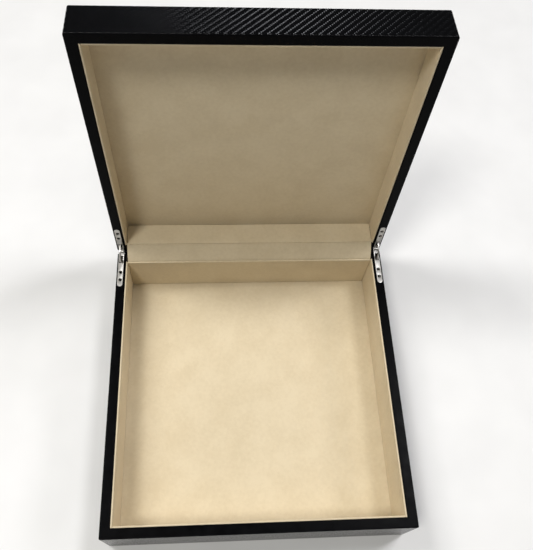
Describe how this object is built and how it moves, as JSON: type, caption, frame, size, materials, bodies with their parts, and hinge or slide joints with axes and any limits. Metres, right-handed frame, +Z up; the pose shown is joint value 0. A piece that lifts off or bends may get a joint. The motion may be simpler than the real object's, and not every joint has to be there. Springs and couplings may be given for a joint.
{
  "type": "watch box",
  "caption": "Shallow square hinged box with a suede-lined base and lid, wrapped in woven-look leatherette, held open by quadrant stay hinges.",
  "frame": {"origin": "centre of the underside of the base, on the surface that the box stands on", "axes": "+X to the right of a person who faces the open box, +Y from the front to the hinges, +Z up"},
  "size_m": [0.26, 0.3042, 0.3171],
  "materials": {
    "embossed_leatherette": "polyurethane leatherette embossed as a 2/2 twill, satin",
    "smooth_leatherette": "smooth polyurethane leatherette, low gloss",
    "cream_suede": "short-napped microsuede, matte",
    "fibreboard": "medium-density fibreboard, stained black",
    "black_flock": "flocked paper, matte",
    "nickel_plated_steel": "nickel-plated steel, satin"
  },
  "bodies": {
    "base": {"base_bottom_board": "fibreboard", "base_front_board": "fibreboard", "base_rear_board": "fibreboard", "base_left_board": "fibreboard", "base_right_board": "fibreboard", "base_wrap": "embossed_leatherette", "base_rim_trim": "smooth_leatherette", "base_flock_sheet": "black_flock", "base_floor_liner": "cream_suede", "base_front_liner": "cream_suede", "base_rear_liner": "cream_suede", "base_left_liner": "cream_suede", "base_right_liner": "cream_suede", "gusset_base_flap": "cream_suede", "spine_base_flap": "smooth_leatherette", "left_base_leaf": "nickel_plated_steel", "right_base_leaf": "nickel_plated_steel", "left_hinge_pin": "nickel_plated_steel", "right_hinge_pin": "nickel_plated_steel", "base_hinge_screws": "nickel_plated_steel"},
    "lid": {"lid_top_board": "fibreboard", "lid_front_board": "fibreboard", "lid_rear_board": "fibreboard", "lid_left_board": "fibreboard", "lid_right_board": "fibreboard", "lid_wrap": "embossed_leatherette", "lid_rim_trim": "smooth_leatherette", "lid_top_liner": "cream_suede", "lid_front_liner": "cream_suede", "lid_rear_liner": "cream_suede", "lid_left_liner": "cream_suede", "lid_right_liner": "cream_suede", "gusset_lid_flap": "cream_suede", "spine_lid_flap": "smooth_leatherette", "left_lid_leaf": "nickel_plated_steel", "right_lid_leaf": "nickel_plated_steel", "lid_hinge_screws": "nickel_plated_steel"},
    "left_stay": {"left_stay": "nickel_plated_steel"},
    "right_stay": {"right_stay": "nickel_plated_steel"}
  },
  "joints": [
    {"name": "lid_swing", "type": "hinge", "parent": "base", "child": "lid", "pos_m": [0, 0.1322, 0.0553], "axis": [1, 0, 0], "range_deg": [0, 93]},
    {"name": "left_stay_swing", "type": "hinge", "parent": "base", "child": "left_stay", "pos_m": [-0.1263, 0.1322, 0.0553], "axis": [1, 0, 0], "range_deg": [0, 46.5]},
    {"name": "right_stay_swing", "type": "hinge", "parent": "base", "child": "right_stay", "pos_m": [0.1263, 0.1322, 0.0553], "axis": [1, 0, 0], "range_deg": [0, 46.5]}
  ],
  "couplings": [
    {"joint": "left_stay_swing", "follows": "lid_swing", "ratio": 0.5},
    {"joint": "right_stay_swing", "follows": "lid_swing", "ratio": 0.5}
  ]
}
